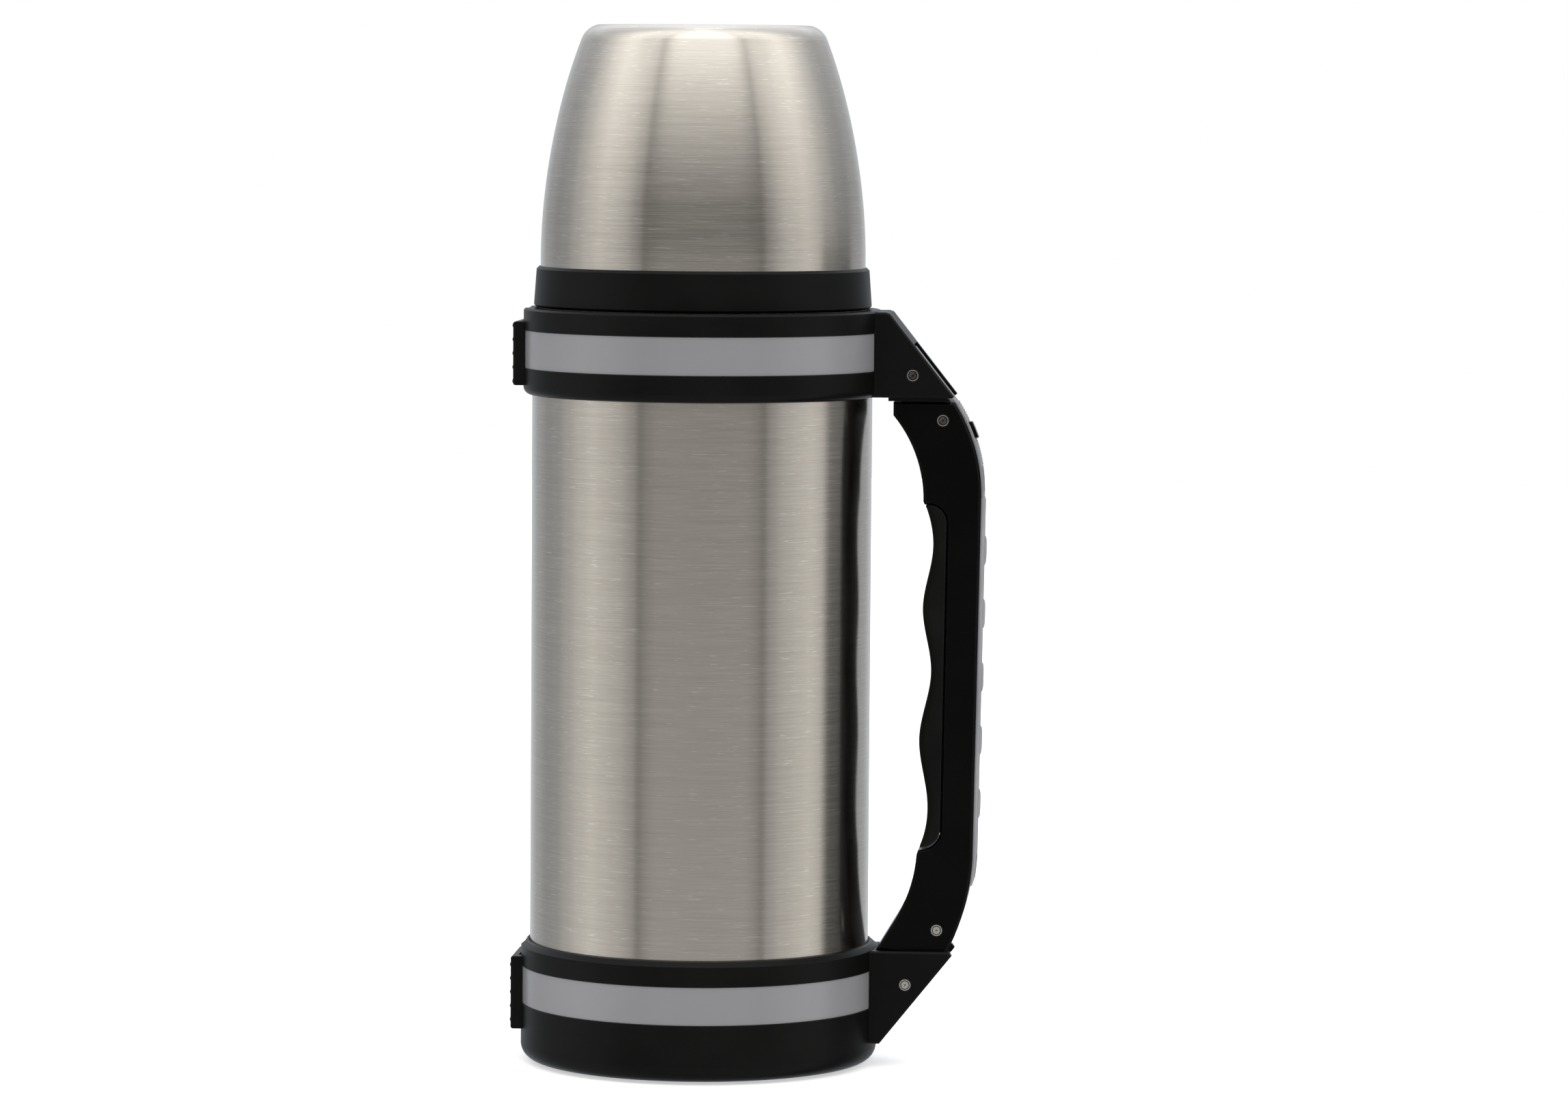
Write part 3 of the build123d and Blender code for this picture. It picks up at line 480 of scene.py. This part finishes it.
def makePlastic(name, values):
    made, tree, surface = startMaterial(name, IOR=1.48, Specular_IOR_Level=values.get("shine", 0.5))
    grain, clouds = useGroup(tree, mouldedGrain, Grain_Scale=values["grainScale"],
                             Cloud_Scale=values["cloudScale"])
    worn = useGroup(tree, edgeSheenAndWear, Width=values["edgeSheenAndWearWidth"])[0]
    base = blendColours(tree, spread(tree, clouds, 0.0, 1.0), rgb(*values["dark"]), rgb(*values["light"]))
    # painted highlight together with wear: the pale edge colour is laid along the edges, where light
    # catches them
    base = blendColours(tree, calc(tree, "MULTIPLY", worn, values["wear"]), base, rgb(*values["worn"]))
    tree.links.new(base, surface.inputs["Base Color"])
    uneven = spread(tree, clouds, -values["uneven"], values["uneven"])
    gloss = calc(tree, "ADD", values["roughness"], uneven)
    tree.links.new(gloss, surface.inputs["Roughness"])
    bump = addNode(tree, "ShaderNodeBump", Strength=values["bump"], Distance=grainDepth, Height=grain)
    tree.links.new(bump.outputs[0], surface.inputs["Normal"])
    return made


# the third colour of each finish is its pale edge line: a painted highlight together with wear
plasticValues = {
    "black_plastic": {
        "dark": (0.003, 0.003, 0.0028), "light": (0.005, 0.005, 0.0047), "worn": (0.03, 0.03, 0.03),
        "shine": 0.12,
        "roughness": 0.36, "uneven": 0.05, "grainScale": 2600.0, "cloudScale": 45.0,
        "bump": 0.25, "wear": 0.5, "edgeSheenAndWearWidth": 0.0005,
    },
    "gloss_black_plastic": {
        "dark": (0.0008, 0.0008, 0.0007), "light": (0.0018, 0.0018, 0.0016), "worn": (0.03, 0.03, 0.03),
        "shine": 0.1,
        "roughness": 0.2, "uneven": 0.05, "grainScale": 1800.0, "cloudScale": 60.0,
        "bump": 0.08, "wear": 0.4, "edgeSheenAndWearWidth": 0.0005,
    },
    "black_rubber": {
        "dark": (0.004, 0.004, 0.0037), "light": (0.007, 0.007, 0.0065), "worn": (0.02, 0.02, 0.02),
        "shine": 0.1,
        "roughness": 0.5, "uneven": 0.06, "grainScale": 3200.0, "cloudScale": 50.0,
        "bump": 0.5, "wear": 0.4, "edgeSheenAndWearWidth": 0.0008,
    },
    "gray_rubber": {
        "dark": (0.25, 0.25, 0.26), "light": (0.31, 0.31, 0.32), "worn": (0.38, 0.38, 0.38),
        "roughness": 0.5, "uneven": 0.06, "grainScale": 3000.0, "cloudScale": 60.0,
        "bump": 0.4, "wear": 0.5, "edgeSheenAndWearWidth": 0.0006,
    },
    "silver_trim": {
        "dark": (0.222, 0.22, 0.23), "light": (0.236, 0.234, 0.245), "worn": (0.4, 0.4, 0.41),
        "shine": 1.0,
        "roughness": 0.24, "uneven": 0.008, "grainScale": 5200.0, "cloudScale": 30.0,
        "bump": 0.1, "wear": 0.0, "edgeSheenAndWearWidth": 0.0003,
    },
    "silicone": {
        "dark": (0.62, 0.62, 0.60), "light": (0.70, 0.70, 0.67), "worn": (0.74, 0.74, 0.72),
        "roughness": 0.45, "uneven": 0.06, "grainScale": 2600.0, "cloudScale": 60.0,
        "bump": 0.25, "wear": 0.3, "edgeSheenAndWearWidth": 0.0005,
    },
    "white_plastic": {
        "dark": (0.70, 0.70, 0.68), "light": (0.78, 0.78, 0.76), "worn": (0.82, 0.82, 0.8),
        "roughness": 0.35, "uneven": 0.05, "grainScale": 2600.0, "cloudScale": 60.0,
        "bump": 0.15, "wear": 0.3, "edgeSheenAndWearWidth": 0.0005,
    },
    "gray_plastic": {
        "dark": (0.09, 0.09, 0.095), "light": (0.13, 0.13, 0.135), "worn": (0.2, 0.2, 0.2),
        "roughness": 0.38, "uneven": 0.05, "grainScale": 2600.0, "cloudScale": 60.0,
        "bump": 0.25, "wear": 0.4, "edgeSheenAndWearWidth": 0.0005,
    },
    "foam": {
        "dark": (0.62, 0.58, 0.46), "light": (0.78, 0.75, 0.66), "worn": (0.8, 0.78, 0.7),
        "roughness": 0.85, "uneven": 0.05, "grainScale": 900.0, "cloudScale": 150.0,
        "bump": 1.0, "wear": 0.2, "edgeSheenAndWearWidth": 0.0008,
    },
}

metalValues = {
    "brushed_steel": brushedSteelValues,
    "plain_steel": plainSteelValues,
    "solder": dict(plainSteelValues, dark=(0.42, 0.42, 0.43), light=(0.54, 0.54, 0.55), roughness=0.4),
    "getter_metal": dict(plainSteelValues, dark=(0.25, 0.25, 0.27), light=(0.36, 0.36, 0.38),
                         roughness=0.55),
    "foil": dict(plainSteelValues, dark=(0.72, 0.72, 0.74), light=(0.86, 0.86, 0.88), roughness=0.16),
    "turned_steel": dict(plainSteelValues, dark=(0.62, 0.6, 0.56), light=(0.75, 0.73, 0.69),
                         roughness=0.22, lineDensity=5200.0),
}

finishes = {}
for maker, table in ((makeSteel, metalValues), (makePlastic, plasticValues)):
    for slot, values in table.items():
        finishes[slot] = maker(slot.replace("_", ""), values)
print("finishes ready:", len(finishes))


# every CAD node that stays gets its slot's finish

slotOf = {part["node"]: part["material_slot"] for part in frame["record"]["subparts"]}


def dress(piece, slotName):
    piece.data.materials.clear()
    piece.data.materials.append(finishes[slotName])


for name, node in nodes.items():
    dress(node, slotOf[name])
print("finishes assigned")


# mesh helpers


sharpAngle = math.radians(35)  # edges sharper than this stay crisp


def addPiece(name, mesh, body, slotName, *replaced):
    # a finished mesh becomes a piece that rides a body and may stand in for CAD nodes
    piece = bpy.data.objects.new(name, mesh)
    scene.collection.objects.link(piece)
    dress(piece, slotName)
    for face in mesh.polygons:
        face.use_smooth = True
    mesh.set_sharp_from_angle(angle=sharpAngle)
    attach(piece, body)
    if replaced:
        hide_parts(*replaced)
    return piece


def softened(corners, radius, steps=4):
    # rounds every corner of a closed outline
    points = []
    count = len(corners)
    for index, corner in enumerate(corners):
        corner = Vector(corner)
        before, after = Vector(corners[index - 1]), Vector(corners[(index + 1) % count])
        reach = min(radius, (before - corner).length * 0.45, (after - corner).length * 0.45)
        start = corner + (before - corner).normalized() * reach
        end = corner + (after - corner).normalized() * reach
        for step in range(steps + 1):
            t = step / steps
            points.append(start * (1 - t) ** 2 + corner * 2 * t * (1 - t) + end * t ** 2)
    return points


def lathe(name, outline, steps=160):
    # turns a closed outline of (radius, height) points round the axis
    shape = bmesh.new()
    ring = [shape.verts.new((radius, 0, height)) for radius, height in outline]
    edges = [shape.edges.new((ring[index - 1], ring[index])) for index in range(len(ring))]
    bmesh.ops.spin(shape, geom=ring + edges, cent=(0, 0, 0), axis=(0, 0, 1), angle=math.tau,
                   steps=steps, use_merge=True)
    bmesh.ops.remove_doubles(shape, verts=shape.verts, dist=1e-6)
    bmesh.ops.recalc_face_normals(shape, faces=shape.faces)
    mesh = bpy.data.meshes.new(name)
    shape.to_mesh(mesh)
    shape.free()
    return mesh


def loft(name, sections):
    # joins closed sections of equally many points and closes both ends
    shape = bmesh.new()
    rings = [[shape.verts.new(point) for point in section] for section in sections]
    count = len(rings[0])
    for lower, upper in zip(rings[:-1], rings[1:]):
        for index in range(count):
            following = (index + 1) % count
            shape.faces.new((lower[index], lower[following], upper[following], upper[index]))
    shape.faces.new(rings[0][::-1])
    shape.faces.new(rings[-1])
    bmesh.ops.recalc_face_normals(shape, faces=shape.faces)
    mesh = bpy.data.meshes.new(name)
    shape.to_mesh(mesh)
    shape.free()
    return mesh


def surfaceOf(nodeName):
    shape = bmesh.new()
    shape.from_mesh(nodes[nodeName].data)
    tree = BVHTree.FromBMesh(shape)
    shape.free()
    return tree


inFront, behind = 58 * mm, 200 * mm  # the handle's soft pieces lie between these two


def outward(tree, y, z, fromInside=False):
    # how far out a node's face lies at this height, from the back or from the flask's side
    start, direction = ((inFront, 1) if fromInside else (behind, -1))
    hit = tree.ray_cast(Vector((start, y, z)), Vector((direction, 0, 0)))[0]
    return hit.x if hit else None


def roundedSlice(flat, crown, side, reach, steps, z):
    # level slice of a bar with one flat face and two rounded corners opposite
    towards = 1 if crown > flat else -1
    points = [(flat, -side, z)]
    for end in (-1, 1):
        for step in range(steps + 1):
            angle = math.pi / 2 * (step / steps if end < 0 else 1 - step / steps)
            points.append((crown - towards * reach * (1 - math.sin(angle)),
                           end * (side - reach * (1 - math.cos(angle))), z))
    return points + [(flat, side, z)]


# soft rings and the foot, turned with rounded edges

sealValues = {
    "rings": {  # new piece: node it stands for, inner radius, rounding, body
        "cupSealRing": ("cup_seal", 49.0 * mm, 0.3 * mm, "cup_seal"),
        "stopperGasketRing": ("stopper_gasket", 34.6 * mm, 0.6 * mm, "stopper_gasket"),
        "valveDisc": ("valve_seal", 2.52 * mm, 0.7 * mm, "button"),
    },
    "footRounding": 0.35 * mm,
    "footGrooves": (12, 22, 32, 40),  # radii in mm
    "grooveDepth": 0.5 * mm,
    "grooveWidth": 1.2 * mm,
}


def makeRings(rings):
    for name, (nodeName, inner, rounding, body) in rings.items():
        low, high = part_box(nodeName)
        corners = [(inner, low[2]), (high[1], low[2]), (high[1], high[2]), (inner, high[2])]
        addPiece(name, lathe(name, softened(corners, rounding)), body, "silicone", nodeName)


def makeFoot(values):
    low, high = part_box("foot_pad")
    radius, top, bottom = high[1], high[2], low[2]
    outline = [(radius, top), (radius, bottom)]
    half, deep = values["grooveWidth"] / 2, bottom + values["grooveDepth"]
    for groove in reversed(values["footGrooves"]):
        middle = groove * mm
        outline += [(middle + half, bottom), (middle + half * 0.6, deep), (middle - half * 0.6, deep),
                    (middle - half, bottom)]
    rounded = softened(outline, values["footRounding"], 3)
    addPiece("footDisc", lathe("footDisc", [(0, top)] + rounded + [(0, bottom)]), "flask", "black_rubber",
             "foot_pad")


makeRings(sealValues["rings"])
makeFoot(sealValues)
print("soft rings turned")


# pins with a turned groove and a centre mark in both ends: share of the radius, and depth below the end

pinEnd = [
    (0.0, 0.14 * mm), (0.10, 0.14 * mm), (0.16, 0.0), (0.62, 0.0), (0.66, 0.16 * mm),
    (0.75, 0.16 * mm), (0.79, 0.0), (0.93, 0.0), (1.0, 0.12 * mm),
]


def makePins(faces, steelValues):
    for nodeName, face in faces.items():
        low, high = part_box(nodeName)
        centre = Vector((a + b) / 2 for a, b in zip(low, high))
        radius, half = (high[0] - low[0]) / 2, (high[1] - low[1]) / 2
        end = [(share * radius, half - depth) for share, depth in pinEnd]
        first, *others = nodeName.split("_")
        name = first + "".join(word.capitalize() for word in others)
        mesh = lathe(name, end + [(reach, -height) for reach, height in reversed(end)], 64)
        mesh.transform(Matrix.Translation(centre) @ Matrix.Rotation(math.pi / 2, 4, "X"))
        piece = addPiece(name, mesh, "flask", "turned_steel", nodeName)
        piece.data.materials[0] = makePin(name + "Steel", nodeName, face, steelValues)


makePins(pinValues, metalValues["turned_steel"])
print("pins turned")


# spring under the pour button

springValues = {"wire": 0.5 * mm, "turns": 5, "stepsPerTurn": 36, "wireSides": 10, "joint": "button_press"}


def makeSpring(values):
    low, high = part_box("button_spring")
    wire = values["wire"]
    radius = high[0] - wire
    bottom, top = low[2] + wire, high[2] - wire
    count = values["turns"] * values["stepsPerTurn"]
    slope = math.atan2((top - bottom) / values["turns"], math.tau * radius)
    sections = []
    for index in range(count + 1):
        angle = math.tau * index / values["stepsPerTurn"]
        z = bottom + (top - bottom) * index / count
        out = Vector((math.cos(angle), math.sin(angle), 0))
        across = Vector((math.sin(angle) * math.sin(slope), -math.cos(angle) * math.sin(slope),
                         math.cos(slope)))
        middle = out * radius + Vector((0, 0, z))
        around = [math.tau * side / values["wireSides"] for side in range(values["wireSides"])]
        sections.append([middle + (out * math.cos(turn) + across * math.sin(turn)) * wire
                         for turn in around])
    piece = addPiece("pressSpring", loft("pressSpring", sections), "stopper", "plain_steel",
                     "button_spring")
    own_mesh(piece)


makeSpring(springValues)
print("spring wound")


# finger grip: follows the wavy inner edge, rounded towards the flask

gripValues = {
    "sections": 170,
    "endCrowding": 0.35,  # how much closer together the slices lie at both ends
    "rounding": 2.7 * mm,
    "endRounding": 0.7 * mm,
    "cornerSteps": 7,
    "probeInset": 0.08 * mm,
    "thinnest": 0.2 * mm,
    "mostPulled": 0.3,  # share of the grip's thickness that the rounded ends may take
    "mostRounded": 0.6,  # and the rounded corners
}


def makeFingerGrip(values):
    surface = surfaceOf("finger_grip")
    low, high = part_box("finger_grip")
    half = high[1]
    inset, soft, crowding = values["probeInset"], values["endRounding"], values["endCrowding"]
    sections = []
    for index in range(values["sections"] + 1):
        t = index / values["sections"]
        t = t * t * (3 - 2 * t) * crowding + t * (1 - crowding)
        z = low[2] + (high[2] - low[2]) * t
        probe = min(max(z, low[2] + inset), high[2] - inset)
        near, far = outward(surface, 0, probe, True), outward(surface, 0, probe)
        if near is None or far is None or far - near < values["thinnest"]:
            continue
        fromEnd = min(z - low[2], high[2] - z)
        pulled = 0.0  # the last slices draw in to round the ends
        if fromEnd < soft:
            pulled = soft - math.sqrt(max(soft * soft - (soft - fromEnd) ** 2, 0))
        pulled = min(pulled, (far - near) * values["mostPulled"])
        reach = min(values["rounding"], (far - near) * values["mostRounded"])
        sections.append(roundedSlice(far, near + pulled, half - pulled, reach, values["cornerSteps"], z))
    addPiece("softFingerGrip", loft("softFingerGrip", sections), "flask", "black_rubber", "finger_grip")


makeFingerGrip(gripValues)
print("finger grip lofted")


# rows that follow a path down the handle's back: one geometry tree, used for ridges and ovals


def makeRowTree():
    tree = bpy.data.node_groups.new("rowAlongPath", "GeometryNodeTree")
    face = tree.interface
    face.new_socket("Geometry", in_out="INPUT", socket_type="NodeSocketGeometry")
    face.new_socket("Piece", in_out="INPUT", socket_type="NodeSocketObject")
    face.new_socket("Count", in_out="INPUT", socket_type="NodeSocketInt").default_value = 5
    face.new_socket("Finish", in_out="INPUT", socket_type="NodeSocketMaterial")
    face.new_socket("Geometry", in_out="OUTPUT", socket_type="NodeSocketGeometry")
    given = tree.nodes.new("NodeGroupInput").outputs
    target = tree.nodes.new("NodeGroupOutput")
    line = addNode(tree, "GeometryNodeMeshToCurve", Mesh=given["Geometry"]).outputs["Curve"]
    spots = addNode(tree, "GeometryNodeCurveToPoints", {"mode": "COUNT"}, Curve=line, Count=given["Count"])
    along = addNode(tree, "ShaderNodeSeparateXYZ", Vector=spots.outputs["Tangent"]).outputs
    lean = calc(tree, "ARCTAN2", along["X"], along["Z"])
    turn = addNode(tree, "ShaderNodeCombineXYZ", Y=lean)
    shape = addNode(tree, "GeometryNodeObjectInfo", Object=given["Piece"]).outputs["Geometry"]
    row = addNode(tree, "GeometryNodeInstanceOnPoints", Points=spots.outputs["Points"], Instance=shape,
                  Rotation=turn.outputs[0]).outputs["Instances"]
    real = addNode(tree, "GeometryNodeRealizeInstances", Geometry=row).outputs["Geometry"]
    done = addNode(tree, "GeometryNodeSetMaterial", Geometry=real, Material=given["Finish"])
    tree.links.new(done.outputs["Geometry"], target.inputs["Geometry"])
    return tree


rowAlongPath = makeRowTree()


def growRow(name, path, shapeMesh, count, slotName):
    # runs the tree on a path and returns the result as a plain mesh
    pathMesh = bpy.data.meshes.new(name + "Path")
    pathMesh.from_pydata(path, [(index, index + 1) for index in range(len(path) - 1)], [])
    carrier = bpy.data.objects.new(name + "Path", pathMesh)
    shape = bpy.data.objects.new(name + "Shape", shapeMesh)
    scene.collection.objects.link(carrier)
    scene.collection.objects.link(shape)
    modifier = carrier.modifiers.new("row", "NODES")
    modifier.node_group = rowAlongPath
    sockets = {item.name: item.identifier for item in rowAlongPath.interface.items_tree
               if item.in_out == "INPUT"}
    modifier[sockets["Piece"]] = shape
    modifier[sockets["Count"]] = count
    modifier[sockets["Finish"]] = finishes[slotName]
    bpy.context.view_layer.update()
    result = bpy.data.meshes.new_from_object(carrier.evaluated_get(bpy.context.evaluated_depsgraph_get()))
    for used in (carrier, shape):
        bpy.data.objects.remove(used)
    result.name = name
    return result


def backPath(surface, y, low, high, sink, count=60):
    # points on the handle's back at this distance off its middle
    points = []
    for index in range(count + 1):
        z = low + (high - low) * index / count
        x = outward(surface, y, z)
        if x is not None:
            points.append((x - sink, 0, z))
    return points


def ridgeMesh(length, radius, steps=6):
    # a low half round bar across the strip, rounded off at its ends
    sections = []
    for place, share in ((-1, 0.35), (-0.985, 0.8), (-0.96, 1.0), (0.96, 1.0), (0.985, 0.8), (1, 0.35)):
        sections.append([(radius * share * math.sin(math.pi * step / steps), place * length / 2,
                          radius * share * math.cos(math.pi * step / steps)) for step in range(steps + 1)])
    return loft("ridgeShape", sections)


def ovalMesh(values, rings=8, spokes=32):
    # a raised oval with a rounded shoulder and a nearly flat top
    length, width, height = (values[key] for key in ("ovalLength", "ovalWidth", "ovalHeight"))
    shape = bmesh.new()
    loops = []
    for ring in range(rings + 1):
        t = ring / rings
        share = 1 - values["ovalShoulder"] * (1 - math.cos(t * math.pi / 2))
        rise = height * math.sin(t * math.pi / 2) ** 0.8
        loops.append([shape.verts.new((rise, share * width / 2 * math.sin(math.tau * spoke / spokes),
                                       share * length / 2 * math.cos(math.tau * spoke / spokes)))
                      for spoke in range(spokes)])
    for lower, upper in zip(loops[:-1], loops[1:]):
        for spoke in range(spokes):
            following = (spoke + 1) % spokes
            shape.faces.new((lower[spoke], lower[following], upper[following], upper[spoke]))
    crown = shape.verts.new((height * values["ovalCrown"], 0, 0))
    for spoke in range(spokes):
        shape.faces.new((loops[-1][spoke], loops[-1][(spoke + 1) % spokes], crown))
    shape.faces.new(loops[0][::-1])
    bmesh.ops.recalc_face_normals(shape, faces=shape.faces)
    mesh = bpy.data.meshes.new("ovalShape")
    shape.to_mesh(mesh)
    shape.free()
    return mesh


stripValues = {
    "probe": 6.0 * mm,  # distance off the middle where the strip's back is flat
    "ridgeRadius": 0.36 * mm,
    "ridgeLength": 11.6 * mm,
    "ridgeSink": 0.12 * mm,
    "rows": {  # below and above the stud: lowest, highest, number of ridges
        "lowerRidges": (191.5 * mm, 199.4 * mm, 11),
        "upperRidges": (205.9 * mm, 211.0 * mm, 7),
    },
}


def makeStripRidges(values):
    surface = surfaceOf("back_strip")
    ridge = ridgeMesh(values["ridgeLength"], values["ridgeRadius"])
    for name, (start, end, count) in values["rows"].items():
        path = backPath(surface, values["probe"], start, end, values["ridgeSink"])
        addPiece(name, growRow(name, path, ridge.copy(), count, "gray_rubber"), "flask", "gray_rubber")


padValues = {
    "probe": 6.05 * mm,
    "sections": 90,
    "endInset": 0.6 * mm,
    "endSoftening": 0.35 * mm,
    "edge": 0.8 * mm,
    "edgeSteps": 4,
    "windowWidth": 4.4 * mm,
    "windowHeight": 8.2 * mm,
    "windowSpacing": 6.4 * mm,
    "windowRise": 1.2 * mm,
    "windowCorner": 0.8 * mm,
    "windowReach": (60 * mm, 110 * mm),  # the cutters run through the pad between these
    "ovalLength": 9.6 * mm,
    "ovalWidth": 7.0 * mm,
    "ovalHeight": 0.8 * mm,
    "ovalShoulder": 0.42,  # share of the oval's width that its rounded edge takes
    "ovalCrown": 1.03,  # height of its middle, beside the shoulder's
    "ovalSink": 0.05 * mm,
    "ovalCount": 5,
    "ovalPitch": 20.2 * mm,
    "ovalMiddle": 123.85 * mm,
}


def padBody(surface, low, high, values):
    half, probeSide, inset = high[1], values["probe"], values["endInset"]
    sections = []
    for index in range(values["sections"] + 1):
        z = low[2] + (high[2] - low[2]) * index / values["sections"]
        probe = min(max(z, low[2] + inset), high[2] - inset)
        inner, back = outward(surface, probeSide, probe, True), outward(surface, probeSide, probe)
        back -= max(0.0, values["endSoftening"] - min(z - low[2], high[2] - z))
        sections.append(roundedSlice(inner, back, half, values["edge"], values["edgeSteps"], z))
    return loft("softBackPad", sections)


def windowCutter(y, z, values):
    wide, tall = values["windowWidth"] / 2, values["windowHeight"] / 2
    outline = softened([(y - wide, z - tall), (y + wide, z - tall), (y + wide, z + tall),
                        (y - wide, z + tall)], values["windowCorner"])
    mesh = loft("windowCutter", [[(x, across, up) for across, up in outline]
                                 for x in values["windowReach"]])
    cutter = bpy.data.objects.new("windowCutter", mesh)
    scene.collection.objects.link(cutter)
    return cutter


def makeBackPad(values):
    surface = surfaceOf("back_pad")
    low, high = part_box("back_pad")
    piece = bpy.data.objects.new("padBody", padBody(surface, low, high, values))
    scene.collection.objects.link(piece)
    height = low[2] + values["windowRise"] + values["windowHeight"] / 2
    cutters = [windowCutter(side * values["windowSpacing"] / 2, height, values) for side in (-1, 1)]
    for cutter in cutters:
        cut = piece.modifiers.new("window", "BOOLEAN")
        cut.operation = "DIFFERENCE"
        cut.object = cutter
    bpy.context.view_layer.update()
    body = bpy.data.meshes.new_from_object(piece.evaluated_get(bpy.context.evaluated_depsgraph_get()))
    body.name = "softBackPad"
    for used in [piece] + cutters:
        bpy.data.objects.remove(used)
    addPiece("softBackPad", body, "flask", "gray_rubber", "back_pad")

    span = values["ovalPitch"] * (values["ovalCount"] - 1)
    first = values["ovalMiddle"] - span / 2
    path = backPath(surface, values["probe"], first, first + span, values["ovalSink"])
    ovals = growRow("padOvals", path, ovalMesh(values), values["ovalCount"], "gray_rubber")
    addPiece("padOvals", ovals, "flask", "gray_rubber")


makeStripRidges(stripValues)
makeBackPad(padValues)
print("handle's back finished")
